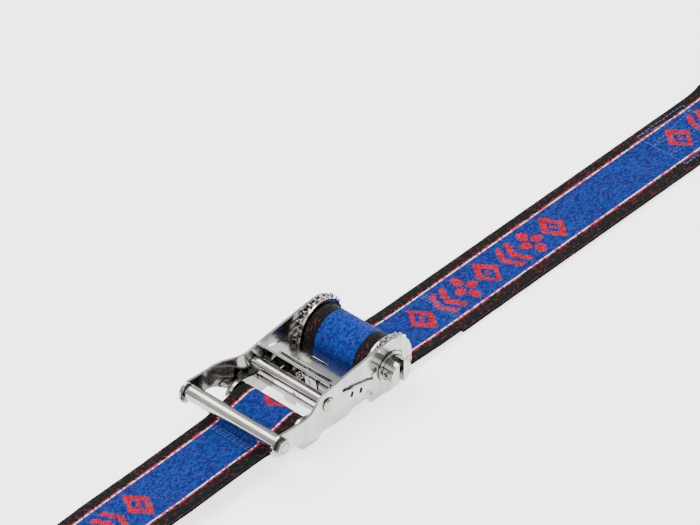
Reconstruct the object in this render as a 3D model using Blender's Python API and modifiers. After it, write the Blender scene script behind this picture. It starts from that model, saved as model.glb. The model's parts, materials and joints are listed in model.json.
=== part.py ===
"""A ratchet tie-down, closed and lying on a flat surface.

The ratchet's drum axis runs along Y above the origin. The fixed strap leaves towards -X, the long strap
towards +X, and each ends in a coated S-hook. Lengths are in metres, and +Z is up.
"""

from math import acos, asin, atan2, ceil, cos, degrees, hypot, pi, radians, sin, tan

import bmesh
import bpy
from mathutils import Matrix, Vector

MM = 0.001

# Fits: the running gap between neighbouring pieces.
GAP = 0.3 * MM

# Webbing.
WEBBING_WIDTH = 38 * MM
WEBBING_THICK = 1.5 * MM
FOLDED_WIDTH = 17.6 * MM  # gathered to pass through a hook's eye
TAPER_START = 5.5 * MM  # distance from the eye where the webbing starts to widen
TAPER_END = 20 * MM  # distance from the eye where the webbing is back to full width
TAPER_STEPS = 6
PINCH = 24 * MM  # distance from a bar where the loop's two layers come together
TAIL_LENGTH = 235 * MM  # the long strap's second layer, from the eye to its sewn end

# Drum: two half-moon shafts with a slot between them, where the webbing passes.
DRUM_Z = 18.5 * MM
SHAFT_RADIUS = 6.6 * MM
SLOT_WIDTH = 3.2 * MM
SHAFT_LENGTH = 63 * MM
WASHER_RADIUS, WASHER_THICK = 8.2 * MM, 0.9 * MM
PIN_RADIUS, PIN_HOLE_RADIUS = 0.42 * MM, 1.15 * MM
ROLL_RADIUS = 13.2 * MM

# Ratchet wheels: the tooth pitch is 15 degrees, and both pawls sit whole pitches apart.
TEETH = 24
TOOTH_ROOT = 14.0 * MM
TOOTH_TIP = 16.2 * MM
WHEEL_THICK = 1.6 * MM

# Frame plates, from the webbing outwards: base plate, ratchet wheel, handle plate.
PLATE_THICK = 1.3 * MM
BASE_PLATE_Y = WEBBING_WIDTH / 2 + GAP + PLATE_THICK / 2
WHEEL_Y = BASE_PLATE_Y + PLATE_THICK / 2 + GAP + WHEEL_THICK / 2
HANDLE_PLATE_Y = WHEEL_Y + WHEEL_THICK / 2 + GAP + PLATE_THICK / 2
SHAFT_HOLE = SHAFT_RADIUS + GAP
BASE_HUB_RADIUS = 14.3 * MM
HANDLE_HUB_RADIUS = 15 * MM

# Handle: the plates flare outwards past the anchor bolt, and the grip joins them.
GRIP_X, GRIP_RISE = -80.5 * MM, 4.8 * MM
GRIP_RADIUS = 4 * MM
GRIP_BOLT_RADIUS = 2.6 * MM
FLARE_START, FLARE_END, FLARE = -45 * MM, -63 * MM, 5.5 * MM
CROSS_ROD_X, CROSS_ROD_RISE, CROSS_ROD_RADIUS = -42.3 * MM, 3 * MM, 3 * MM

# Pawls: sprung plates that slide outwards to let go of the wheels.
PAWL_THICK = 1.3 * MM
PAWL_TIP_RADIUS = 14.3 * MM
HANDLE_PAWL_AT, HANDLE_PAWL_TILT = radians(177.9), radians(14.3)
BASE_PAWL_AT, BASE_PAWL_TILT = radians(207.9), radians(-9.7)
PAWL_TRAVEL = 4 * MM
CHISEL_U = -1.6 * MM  # where a pawl's edge starts to thin
LIP_BEND_U, LIP_ANGLE, LIP_LENGTH = -21 * MM, radians(37), 10.5 * MM
EAR_LENGTH = 13 * MM
TAB_HALF = 3.5 * MM  # half the width of the tabs that the springs push on

# The spacer plate stands across the base, square to the base pawl's slide.
SPACER_U = -29.6 * MM
SPACER_THICK = 1.4 * MM
SPACER_TAB, SPACER_TAB_W = 2.1 * MM, 7.4 * MM

# Anchor of the fixed strap.
ANCHOR_X, ANCHOR_Z = -56 * MM, 11.7 * MM
ANCHOR_BOLT_RADIUS = 3 * MM
SLEEVE_RADIUS = 4.5 * MM

# S-hooks: a 9.5 mm coated rod. The eye bar lies across the strap.
ROD_RADIUS = 4.75 * MM
EYE_X = 292.6 * MM
EYE_Z = 6.6 * MM
BOW_V = 73.1 * MM  # from the eye bar to the middle of the bow's rod
HOOK_DROP = asin((EYE_Z - ROD_RADIUS) / BOW_V)
EYE_LOOP = ROD_RADIUS + GAP + WEBBING_THICK / 2
LAYER_HALF = (WEBBING_THICK + GAP) / 2

DRUM_AXIS = Vector((0, 0, DRUM_Z))
STEEL = ("polished_steel", (0.62, 0.62, 0.60), 0.16, 1.0)
SPRING_STEEL = ("spring_steel", (0.45, 0.45, 0.44), 0.3, 1.0)
WEBBING_BLUE = ("webbing_blue", (0.03, 0.09, 0.42), 0.85, 0.0)
VINYL = ("black_vinyl", (0.012, 0.012, 0.014), 0.35, 0.0)


def clear_scene():
    for obj in list(bpy.data.objects):
        bpy.data.objects.remove(obj)


def new_collection(name):
    group = bpy.data.collections.new(name)
    bpy.context.scene.collection.children.link(group)
    return group


def material(finish):
    name, colour, roughness, metallic = finish
    found = bpy.data.materials.get(name)
    if found:
        return found
    made = bpy.data.materials.new(name)
    made.use_nodes = True
    shader = made.node_tree.nodes["Principled BSDF"]
    shader.inputs["Base Color"].default_value = (*colour, 1)
    shader.inputs["Roughness"].default_value = roughness
    shader.inputs["Metallic"].default_value = metallic
    return made


def add_object(name, data, finish, location=(0, 0, 0), tilt=0.0):
    """An object turned by tilt about Y, with its origin at location."""
    obj = bpy.data.objects.new(name, data)
    data.materials.append(material(finish))
    obj.location = location
    obj.rotation_euler = (0, tilt, 0)
    PARTS.objects.link(obj)
    if obj.type == "MESH":
        data.shade_smooth()
        data.set_sharp_from_angle(angle=radians(35))
    return obj


def as_mesh(curve):
    """The mesh that a curve makes, with its caps welded on."""
    guide = bpy.data.objects.new("guide", curve)
    bpy.context.scene.collection.objects.link(guide)
    graph = bpy.context.evaluated_depsgraph_get()
    mesh = bpy.data.meshes.new_from_object(guide.evaluated_get(graph))
    bpy.data.objects.remove(guide)
    bpy.data.curves.remove(curve)
    edit = bmesh.new()
    edit.from_mesh(mesh)
    bmesh.ops.remove_doubles(edit, verts=edit.verts, dist=1e-6)
    edit.to_mesh(mesh)
    edit.free()
    return mesh


def arc(centre, radius, first, last, steps):
    """Points from one angle to another, in degrees, counter-clockwise if last is greater."""
    turns = [radians(first + (last - first) * n / steps) for n in range(steps + 1)]
    return [(centre[0] + radius * cos(t), centre[1] + radius * sin(t)) for t in turns]


def circle(centre, radius, steps=20):
    return arc(centre, radius, 0, 360, steps)[:-1]


def slot(centre, length, width, tilt=0.0, steps=4):
    """A round-ended slot, its long side turned by tilt."""
    reach = (length - width) / 2
    ends = arc((reach, 0), width / 2, -90, 90, steps) + arc((-reach, 0), width / 2, 90, 270, steps)
    return [turned_point(point, centre, tilt) for point in ends]


def turned_point(point, centre, tilt):
    u, v = point
    return centre[0] + u * cos(tilt) - v * sin(tilt), centre[1] + u * sin(tilt) + v * cos(tilt)


def rectangle(centre, length, height, tilt=0.0):
    corners = [(-1, -1), (1, -1), (1, 1), (-1, 1)]
    return [turned_point((a * length / 2, b * height / 2), centre, tilt) for a, b in corners]


def rounded(corners, step=18.0, closed=True):
    """A line through (u, v, radius) corners, each rounded by an arc of that radius."""
    points = []
    count = len(corners)
    for n, (u, v, radius) in enumerate(corners):
        if radius == 0 or (not closed and n in (0, count - 1)):
            points.append((u, v))
            continue
        here = Vector((u, v))
        before = (Vector(corners[n - 1][:2]) - here).normalized()
        after = (Vector(corners[(n + 1) % count][:2]) - here).normalized()
        opening = acos(max(-1, min(1, before.dot(after))))
        reach = radius / tan(opening / 2)
        middle = here + (before + after).normalized() * (radius / sin(opening / 2))
        start, end = here + before * reach - middle, here + after * reach - middle
        sweep = degrees(start.angle_signed(end))
        first = degrees(atan2(start.y, start.x))
        points += arc(middle, radius, first, first - sweep, max(2, ceil(abs(sweep) / step)))
    return points


def flat_solid(outline, holes, thickness):
    """A flat plate of this outline, in the XY plane and centred on it."""
    curve = bpy.data.curves.new("outline", "CURVE")
    curve.dimensions = "2D"
    curve.fill_mode = "BOTH"
    curve.extrude = thickness / 2
    for loop in (outline, *holes):
        spline = curve.splines.new("POLY")
        spline.points.add(len(loop) - 1)
        for point, (u, v) in zip(spline.points, loop):
            point.co = (u, v, 0, 1)
        spline.use_cyclic_u = True
    return as_mesh(curve)


def upright(mesh, y):
    """Stands a flat solid up in the XZ plane at this y."""
    mesh.transform(Matrix.Translation((0, y, 0)) @ Matrix.Rotation(pi / 2, 4, "X"))
    return mesh


def crease(mesh, lines):
    """Splits the mesh along lines of constant x, so that it can bend there."""
    edit = bmesh.new()
    edit.from_mesh(mesh)
    for x in lines:
        geometry = edit.verts[:] + edit.edges[:] + edit.faces[:]
        bmesh.ops.bisect_plane(edit, geom=geometry, plane_co=(x, 0, 0), plane_no=(1, 0, 0))
    bmesh.ops.triangulate(edit, faces=edit.faces[:])
    edit.to_mesh(mesh)
    edit.free()


def lathe(name, profile, finish, location, hollow=False, steps=24):
    """A turned piece on a Y axis: profile is (radius, y) from its +Y end to its -Y end."""
    mesh = bpy.data.meshes.new(name)
    points = [(radius, 0, y) for radius, y in profile]
    edges = [(n, n + 1) for n in range(len(points) - 1)]
    if hollow:
        edges.append((len(points) - 1, 0))
    mesh.from_pydata(points, edges, [])
    obj = add_object(name, mesh, finish, location)
    obj.rotation_euler = (-pi / 2, 0, 0)
    screw = obj.modifiers.new("turn", "SCREW")
    screw.steps = screw.render_steps = steps
    screw.use_merge_vertices = True
    screw.merge_threshold = 1e-6
    screw.use_smooth_shade = True
    return obj


def wire(name, points, radius, finish, location=(0, 0, 0), tilt=0.0, resolution=2):
    """A round wire through these points."""
    curve = bpy.data.curves.new(name, "CURVE")
    curve.dimensions = "3D"
    curve.bevel_depth = radius
    curve.bevel_resolution = resolution
    curve.use_fill_caps = True
    spline = curve.splines.new("POLY")
    spline.points.add(len(points) - 1)
    for point, place in zip(spline.points, points):
        point.co = (*place, 1)
    return add_object(name, curve, finish, location, tilt)


def combine(obj, other, operation):
    """Joins another object to this one, or cuts it away, and puts the other with the cutters."""
    step = obj.modifiers.new(other.name, "BOOLEAN")
    step.operation = operation
    step.object = other
    for group in list(other.users_collection):
        group.objects.unlink(other)
    CUTTERS.objects.link(other)
    other.hide_render = True
    other.display_type = "WIRE"


def block(name, low, high, like):
    """A box given by its corners in the frame of another object."""
    low, high = Vector(low), Vector(high)
    bpy.ops.mesh.primitive_cube_add(size=1)
    obj = bpy.context.object
    obj.name = name
    obj.data.transform(Matrix.Translation((low + high) / 2) @ Matrix.Diagonal((*(high - low), 1)))
    obj.matrix_world = like.matrix_basis.copy()
    return obj


def side_name(stem, side):
    return f"{stem}_{'left' if side > 0 else 'right'}"


def half_moon(side, grow=0.0):
    """Section of one half of the shaft: a round side and a flat side that faces the slot."""
    flat = SLOT_WIDTH / 2 - grow
    radius = SHAFT_RADIUS + grow
    reach = degrees(acos(flat / radius))
    turn = 0 if side > 0 else 180
    return arc((0, 0), radius, turn - reach, turn + reach, 12)


def pawl_origin(at):
    """Where a pawl's tip meets the wheel, from the drum axis."""
    return Vector((PAWL_TIP_RADIUS * cos(at), 0, PAWL_TIP_RADIUS * sin(at)))


def in_pawl_frame(at, tilt, u, w=0.0):
    """(x, z) from the drum axis of a point u along a pawl's slide and w above it."""
    tip = pawl_origin(at)
    return tip.x + u * cos(tilt) + w * sin(tilt), tip.z - u * sin(tilt) + w * cos(tilt)


def base_plate(side):
    corners = [
        (-46 * MM, -1.4 * MM, 0),
        (-58.8 * MM, 1.6 * MM, 6.5 * MM),
        (-65.5 * MM, -7 * MM, 7 * MM),
        (-56 * MM, -18.5 * MM, 4 * MM),
        (-45.5 * MM, -18.5 * MM, 3 * MM),
        (-42.5 * MM, -14.2 * MM, 2 * MM),
        (-12 * MM, -14.2 * MM, 2 * MM),
        (-9.5 * MM, -18.5 * MM, 2 * MM),
        (9 * MM, -18.5 * MM, 2 * MM),
    ]
    hub = arc((0, 0), BASE_HUB_RADIUS, -48, 176, 24)
    outline = [*rounded([*corners, (*hub[0], 0)]), *hub[1:], (-18 * MM, -1.4 * MM)]
    slot_length = EAR_LENGTH + PAWL_TRAVEL + 1.5 * MM
    slot_centre = in_pawl_frame(BASE_PAWL_AT, BASE_PAWL_TILT, 0.8 * MM - slot_length / 2)
    spacer_centre = in_pawl_frame(BASE_PAWL_AT, BASE_PAWL_TILT, SPACER_U, SPACER_TAB_W)
    holes = [
        circle((0, 0), SHAFT_HOLE, 28),
        circle((ANCHOR_X, ANCHOR_Z - DRUM_Z), ANCHOR_BOLT_RADIUS + GAP),
        rectangle(slot_centre, slot_length, PAWL_THICK + 2 * GAP, -BASE_PAWL_TILT),
        rectangle(spacer_centre, SPACER_THICK + 2 * GAP, SPACER_TAB + 2 * GAP, -BASE_PAWL_TILT),
    ]
    mesh = upright(flat_solid(outline, holes, PLATE_THICK), side * BASE_PLATE_Y)
    return add_object(side_name("base_plate", side), mesh, STEEL, DRUM_AXIS)


def base_spacer():
    half = WEBBING_WIDTH / 2
    low, high = 5.9 * MM, 9 * MM
    tab_low, tab_high = SPACER_TAB_W - SPACER_TAB / 2, SPACER_TAB_W + SPACER_TAB / 2
    tongue = 3.2 * MM
    right = [
        (tongue, 2 * MM),
        (tongue, low),
        (half, low),
        (half, tab_low),
        (BASE_PLATE_Y + PLATE_THICK / 2, tab_low),
        (BASE_PLATE_Y + PLATE_THICK / 2, tab_high),
        (half, tab_high),
        (half, high),
    ]
    outline = right + [(-v, w) for v, w in reversed(right)]
    mesh = flat_solid(outline, [], SPACER_THICK)
    facing = Matrix(((0, 0, 1, SPACER_U), (1, 0, 0, 0), (0, 1, 0, 0), (0, 0, 0, 1)))
    mesh.transform(facing)
    origin = DRUM_AXIS + pawl_origin(BASE_PAWL_AT)
    return add_object("base_spacer_plate", mesh, STEEL, origin, BASE_PAWL_TILT)


def anchor_bolt():
    plate_face = BASE_PLATE_Y + PLATE_THICK / 2
    head_inner, head_outer = plate_face + GAP, plate_face + GAP + 2.8 * MM
    at = (ANCHOR_X, 0, ANCHOR_Z)
    shank = ANCHOR_BOLT_RADIUS
    profile = [
        (0, plate_face + 4.4 * MM),
        (shank - 0.5 * MM, plate_face + 4.4 * MM),
        (shank, plate_face + 3.9 * MM),
        (shank, -head_inner),
        (4.9 * MM, -head_inner),
        (4.9 * MM, 1 * MM - head_outer),
        (3.9 * MM, -head_outer),
        (0, -head_outer),
    ]
    lathe("anchor_bolt", profile, STEEL, at)
    sleeve_end = WEBBING_WIDTH / 2
    sleeve = [
        (SLEEVE_RADIUS, sleeve_end),
        (SLEEVE_RADIUS, -sleeve_end),
        (shank + GAP, -sleeve_end),
        (shank + GAP, sleeve_end),
    ]
    lathe("anchor_sleeve", sleeve, STEEL, at, hollow=True)
    nut_thick = 3.2 * MM
    nut = flat_solid(circle((0, 0), 5.4 * MM, 6), [circle((0, 0), shank + GAP, 16)], nut_thick)
    upright(nut, plate_face + GAP + nut_thick / 2)
    add_object("anchor_nut", nut, STEEL, at)


def drum():
    """The two half-moon shafts, the wheels keyed to them, and what keeps the shafts in place."""
    pin_y = HANDLE_PLATE_Y + PLATE_THICK / 2 + 3 * MM
    for side, name in ((1, "drum_shaft_front"), (-1, "drum_shaft_rear")):
        mesh = upright(flat_solid(half_moon(side), [], SHAFT_LENGTH), 0)
        shaft = add_object(name, mesh, STEEL, DRUM_AXIS)
        for end in (1, -1):
            bpy.ops.mesh.primitive_cylinder_add(radius=PIN_HOLE_RADIUS, depth=20 * MM, vertices=14)
            drill = bpy.context.object
            drill.name = f"{name}_pin_drill"
            drill.rotation_euler = (0, pi / 2, 0)
            drill.location = DRUM_AXIS + Vector((side * 8 * MM, end * pin_y, 0))
            combine(shaft, drill, "DIFFERENCE")
    keyways = [half_moon(1, GAP), half_moon(-1, GAP)]
    roll = upright(flat_solid(circle((0, 0), ROLL_RADIUS, 40), keyways, WEBBING_WIDTH), 0)
    add_object("wound_webbing", roll, WEBBING_BLUE, DRUM_AXIS)
    for side in (1, -1):
        wheel = upright(flat_solid(wheel_outline(), keyways, WHEEL_THICK), side * WHEEL_Y)
        add_object(side_name("ratchet_wheel", side), wheel, STEEL, DRUM_AXIS)
        washer_y = HANDLE_PLATE_Y + PLATE_THICK / 2 + GAP + WASHER_THICK / 2
        washer = flat_solid(circle((0, 0), WASHER_RADIUS, 28), [circle((0, 0), SHAFT_HOLE, 28)], WASHER_THICK)
        add_object(side_name("drum_washer", side), upright(washer, side * washer_y), STEEL, DRUM_AXIS)
        cotter_pin(side, pin_y)


def wheel_outline():
    """Saw teeth: a short root, a ramp, a narrow tip, and an undercut face that a pawl bears on."""
    pitch = 360 / TEETH
    face = degrees(HANDLE_PAWL_AT) - 3.4
    profile = [(0, TOOTH_ROOT), (3.6, TOOTH_ROOT), (10.6, TOOTH_TIP), (12.8, TOOTH_TIP)]
    points = []
    for tooth in range(TEETH):
        for turn, radius in profile:
            at = radians(face + tooth * pitch + turn)
            points.append((radius * cos(at), radius * sin(at)))
    return points


def cotter_pin(side, y):
    """A split pin through both shafts: an eye at one end, and two legs that spread at the other."""
    apart = 0.52 * MM
    reach = SHAFT_RADIUS + 1.2 * MM
    eye = 1.7 * MM
    eye_points = [
        (reach + eye - eye * cos(radians(turn)), eye * sin(radians(turn)))
        for turn in range(25, 360, 31)
    ]
    legs_out = [(-reach - 2.2 * MM, 2.4 * MM), (-reach - 1 * MM, 1.1 * MM), (-reach, apart)]
    legs_back = [(-reach, -apart), (-reach - 1 * MM, -1.1 * MM), (-reach - 1.6 * MM, -2 * MM)]
    path = [*legs_out, (reach - 0.6 * MM, apart), *eye_points, (reach - 0.6 * MM, -apart), *legs_back]
    points = [(x, 0, z) for x, z in path]
    place = DRUM_AXIS + Vector((0, side * y, 0))
    wire(side_name("cotter_pin", side), points, PIN_RADIUS, SPRING_STEEL, place)


def handle_plate(side):
    corners = [
        (-26 * MM, 12.8 * MM, 60 * MM),
        (-40 * MM, 11.2 * MM, 60 * MM),
        (-50 * MM, 9.4 * MM, 20 * MM),
        (-68 * MM, 9.7 * MM, 0),
    ]
    below = [
        (-66 * MM, -1.4 * MM, 14 * MM),
        (-52 * MM, -10.4 * MM, 8 * MM),
        (-38 * MM, -11.6 * MM, 10 * MM),
        (-27.5 * MM, -12 * MM, 2.5 * MM),
        (-24.5 * MM, -5.9 * MM, 2 * MM),
        (-14 * MM, -5.4 * MM, 0),
    ]
    grip_end = arc((GRIP_X, GRIP_RISE), 6 * MM, 84, 264, 12)
    hub = arc((0, 0), HANDLE_HUB_RADIUS, -159, 96, 28)
    start = (*hub[-1], 0)
    outline = rounded([start, *corners, (*grip_end[0], 0)], closed=False)[1:-1]
    outline += grip_end
    outline += rounded([(*grip_end[-1], 0), *below, (*hub[0], 0)], closed=False)[1:-1]
    outline += hub
    slot_length = EAR_LENGTH + PAWL_TRAVEL + 5 * MM
    slot_centre = in_pawl_frame(HANDLE_PAWL_AT, HANDLE_PAWL_TILT, 2.8 * MM - slot_length / 2)
    holes = [
        circle((0, 0), SHAFT_HOLE, 28),
        slot(slot_centre, slot_length, 2.3 * MM, -HANDLE_PAWL_TILT),
        rectangle((-26.2 * MM, -0.9 * MM), 2 * MM, 3 * MM, -HANDLE_PAWL_TILT),
        rectangle((-20 * MM, -2.4 * MM), 2 * MM, 3 * MM, -HANDLE_PAWL_TILT),
        circle((CROSS_ROD_X, CROSS_ROD_RISE), 2.2 * MM + GAP, 16),
        circle((GRIP_X, GRIP_RISE), GRIP_BOLT_RADIUS + GAP, 16),
    ]
    mesh = upright(flat_solid(outline, holes, PLATE_THICK), side * HANDLE_PLATE_Y)
    middle = (FLARE_START + FLARE_END) / 2
    crease(mesh, [FLARE_START, (FLARE_START + middle) / 2, middle, (FLARE_END + middle) / 2, FLARE_END])
    for vertex in mesh.vertices:
        vertex.co.y += side * flare(vertex.co.x)
    return add_object(side_name("handle_plate", side), mesh, STEEL, DRUM_AXIS)


def flare(x):
    """How far outwards the handle plates stand at x, eased at both ends."""
    along = max(0, min(1, (FLARE_START - x) / (FLARE_START - FLARE_END)))
    return FLARE * along * along * (3 - 2 * along)


def cross_rod():
    shoulder = HANDLE_PLATE_Y - PLATE_THICK / 2 - GAP
    face = HANDLE_PLATE_Y + PLATE_THICK / 2 + GAP
    half = [
        (0, face + 1.6 * MM),
        (2 * MM, face + 1.5 * MM),
        (3.2 * MM, face + 1 * MM),
        (3.8 * MM, face),
        (2.2 * MM, face),
        (2.2 * MM, shoulder),
        (CROSS_ROD_RADIUS, shoulder),
    ]
    profile = half + [(radius, -y) for radius, y in reversed(half)]
    at = DRUM_AXIS + Vector((CROSS_ROD_X, 0, CROSS_ROD_RISE))
    lathe("handle_cross_rod", profile, STEEL, at)


def grip():
    inner = HANDLE_PLATE_Y - PLATE_THICK / 2 + FLARE - GAP
    face = HANDLE_PLATE_Y + PLATE_THICK / 2 + FLARE + GAP
    bore = GRIP_BOLT_RADIUS + GAP
    at = DRUM_AXIS + Vector((GRIP_X, 0, GRIP_RISE))
    tube = [(GRIP_RADIUS, inner), (GRIP_RADIUS, -inner), (bore, -inner), (bore, inner)]
    lathe("grip_tube", tube, STEEL, at, hollow=True, steps=28)
    profile = [
        (0, face + 2.2 * MM),
        (2.2 * MM, face + 2 * MM),
        (3.8 * MM, face + 1.2 * MM),
        (4.6 * MM, face),
        (GRIP_BOLT_RADIUS, face),
        (GRIP_BOLT_RADIUS, -face - 2.2 * MM),
        (0, -face - 2.2 * MM),
    ]
    lathe("grip_bolt", profile, STEEL, at)
    cap = circle((0, 0), 4.4 * MM, 6)
    nut = flat_solid(cap, [circle((0, 0), GRIP_BOLT_RADIUS + GAP, 16)], 2 * MM)
    add_object("grip_nut", upright(nut, -face - 1 * MM), STEEL, at)


def handle_pawl():
    """The release plate: fingers that reach the wheels, ears in the handle's slots and a lip to pull."""
    finger_in = WHEEL_Y - WHEEL_THICK / 2
    ear = HANDLE_PLATE_Y + PLATE_THICK / 2 + 1.5 * MM
    body = HANDLE_PLATE_Y - PLATE_THICK / 2 - 0.4 * MM
    right = [
        (-1.2 * MM, finger_in),
        (0, finger_in),
        (0, ear),
        (-EAR_LENGTH, ear),
        (-EAR_LENGTH, body),
        (LIP_BEND_U - LIP_LENGTH + 2 * MM, body),
        (LIP_BEND_U - LIP_LENGTH, body - 2 * MM),
    ]
    outline = right + [(u, -v) for u, v in reversed(right)]
    holes = [
        slot((-18.2 * MM, 0), 33 * MM, 2.6 * MM, pi / 2),
        slot((-8.7 * MM, 0), 10 * MM, 2 * MM, pi / 2),
    ]
    mesh = flat_solid(outline, holes, PAWL_THICK)
    crease(mesh, [CHISEL_U, LIP_BEND_U])
    chisel(mesh)
    bend = Matrix.Translation((LIP_BEND_U, 0, 0)) @ Matrix.Rotation(LIP_ANGLE, 4, "Y")
    bend = bend @ Matrix.Translation((-LIP_BEND_U, 0, 0))
    for vertex in mesh.vertices:
        if vertex.co.x < LIP_BEND_U - 1e-5:
            vertex.co = bend @ vertex.co
    origin = DRUM_AXIS + pawl_origin(HANDLE_PAWL_AT)
    pawl = add_object("handle_pawl", mesh, STEEL, origin, HANDLE_PAWL_TILT)
    tab = block("handle_pawl_tab", (-11.4 * MM, -TAB_HALF, -4.6 * MM), (-10.2 * MM, TAB_HALF, 0), pawl)
    combine(pawl, tab, "UNION")


def chisel(mesh):
    """Thins a pawl's edge from below, so that it sits between two teeth."""
    for vertex in mesh.vertices:
        if vertex.co.z < 0 and vertex.co.x > CHISEL_U:
            vertex.co.z *= vertex.co.x / CHISEL_U


def base_pawl():
    finger_in = WHEEL_Y - WHEEL_THICK / 2
    finger_out = WHEEL_Y + WHEEL_THICK / 2
    half = WEBBING_WIDTH / 2
    right = [
        (-0.4 * MM, finger_in),
        (0, finger_in),
        (0, finger_out),
        (-EAR_LENGTH, finger_out),
        (-EAR_LENGTH, half),
        (-15.5 * MM, half),
    ]
    outline = right + [(u, -v) for u, v in reversed(right)]
    mesh = flat_solid(outline, [], PAWL_THICK)
    crease(mesh, [CHISEL_U])
    chisel(mesh)
    origin = DRUM_AXIS + pawl_origin(BASE_PAWL_AT)
    pawl = add_object("base_pawl", mesh, STEEL, origin, BASE_PAWL_TILT)
    tab = block("base_pawl_tab", (-15.4 * MM, -TAB_HALF, 0), (-14.2 * MM, TAB_HALF, 6.3 * MM), pawl)
    combine(pawl, tab, "UNION")


def coil_spring(name, at, tilt, start, end, rise):
    """A coil along a pawl's slide, from u = start to u = end and rise above the slide's plane."""
    turns, points_per_turn = 6, 10
    coil_radius, wire_radius = 1.6 * MM, 0.32 * MM
    count = turns * points_per_turn
    points = []
    for n in range(count + 1):
        turn = 2 * pi * n / points_per_turn
        u = start + wire_radius * (1 if end > start else -1) + (end - start) * 0.94 * n / count
        points.append((u, coil_radius * cos(turn), rise + coil_radius * sin(turn)))
    wire(name, points, wire_radius, SPRING_STEEL, DRUM_AXIS + pawl_origin(at), tilt)


def half_width(distance):
    """Half the webbing's width at this distance from the middle of a hook's eye bar."""
    along = max(0, min(1, (distance - TAPER_START) / (TAPER_END - TAPER_START)))
    return (FOLDED_WIDTH + (WEBBING_WIDTH - FOLDED_WIDTH) * along * along * (3 - 2 * along)) / 2


def webbing(name, path, eye_x, closed, location):
    """Webbing along (x, z) points, narrowed where it folds through the hook's eye."""
    mesh = bpy.data.meshes.new(name)
    edit = bmesh.new()
    rows = []
    for x, z in path:
        half = half_width(abs(x - eye_x))
        rows.append([edit.verts.new(Vector((x, side * half, z)) - location) for side in (-1, 1)])
    pairs = list(zip(rows, rows[1:]))
    if closed:
        pairs.append((rows[-1], rows[0]))
    for first, second in pairs:
        edit.faces.new((first[0], second[0], second[1], first[1]))
    edit.to_mesh(mesh)
    edit.free()
    obj = add_object(name, mesh, WEBBING_BLUE, location)
    thick = obj.modifiers.new("thickness", "SOLIDIFY")
    thick.thickness = WEBBING_THICK
    thick.offset = 0
    thick.use_even_offset = True
    return obj


def eye_wrap(centre, radius, pinch, steps=14):
    """The turn around a bar, and the two pinch points where its two layers come together.

    It starts at the upper pinch point and goes round the bar to the lower one.
    """
    away = Vector(pinch) - Vector(centre)
    heading = degrees(atan2(away.y, away.x))
    side = Vector((-away.y, away.x)).normalized() * LAYER_HALF
    if side.y < 0:
        side.negate()
    spread = degrees(acos(radius / hypot(away.length, LAYER_HALF)) + atan2(LAYER_HALF, away.length))
    turn = spread if away.x > 0 else -spread
    whole = 360 - 2 * spread
    round_bar = arc(centre, radius, heading + turn, heading + turn + (whole if turn > 0 else -whole), steps)
    upper, lower = Vector(pinch) + side, Vector(pinch) - side
    return tuple(upper), round_bar, tuple(lower)


def fixed_strap():
    """A sewn loop of webbing between the anchor and the fixed hook."""
    anchor, eye = (ANCHOR_X, ANCHOR_Z), (-EYE_X, EYE_Z)
    along = (Vector(eye) - Vector(anchor)).normalized()
    near_pinch = Vector(anchor) + along * PINCH
    far_pinch = Vector(eye) - along * PINCH
    wrap_radius = SLEEVE_RADIUS + GAP + WEBBING_THICK / 2
    top_a, round_anchor, bottom_a = eye_wrap(anchor, wrap_radius, near_pinch)
    top_e, round_eye, bottom_e = eye_wrap(eye, EYE_LOOP, far_pinch)
    path = [*round_eye, bottom_e, bottom_a, *reversed(round_anchor), top_a, top_e]
    path = with_taper_points(path, -EYE_X, closed=True)
    webbing("fixed_webbing", path, -EYE_X, True, Vector((ANCHOR_X, 0, ANCHOR_Z)))


def with_taper_points(path, eye_x, closed):
    """Adds points on straight stretches near the eye, where the webbing's width changes."""
    pairs = list(zip(path, path[1:]))
    if closed:
        pairs.append((path[-1], path[0]))
    points = []
    for (x0, z0), (x1, z1) in pairs:
        points.append((x0, z0))
        near = min(abs(x0 - eye_x), abs(x1 - eye_x)) < TAPER_END
        if near and abs(x1 - x0) > 8 * MM:
            first, last = abs(x0 - eye_x), abs(x1 - eye_x)
            stops = [TAPER_END * n / TAPER_STEPS for n in range(1, TAPER_STEPS + 1)]
            shares = sorted((stop - first) / (last - first) for stop in stops)
            points += [(x0 + (x1 - x0) * t, z0 + (z1 - z0) * t) for t in shares if 0.02 < t < 0.98]
    if not closed:
        points.append(path[-1])
    return points


def long_strap():
    """From under the roll to the long hook's eye and back underneath, where the end is sewn down."""
    eye = (EYE_X, EYE_Z)
    roll_level = DRUM_Z - ROLL_RADIUS - GAP - WEBBING_THICK / 2
    lower = GAP + WEBBING_THICK / 2
    upper = lower + 2 * LAYER_HALF
    rest_x = EYE_X - 26 * MM
    pinch = Vector((EYE_X - PINCH, (lower + upper) / 2 + 0.5 * MM))
    top, round_eye, bottom = eye_wrap(eye, EYE_LOOP, pinch)
    ease = [t / 6 for t in range(7)]
    descent = [
        ((4 + 44 * t) * MM, roll_level + (upper - roll_level) * t * t * (3 - 2 * t)) for t in ease
    ]
    path = [(1 * MM, roll_level), *descent, (rest_x - 6 * MM, upper), top]
    path += [*round_eye, bottom, (rest_x - 6 * MM, lower), (EYE_X - TAIL_LENGTH, lower)]
    path = with_taper_points(path, EYE_X, closed=False)
    webbing("long_webbing", path, EYE_X, False, DRUM_AXIS)


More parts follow.
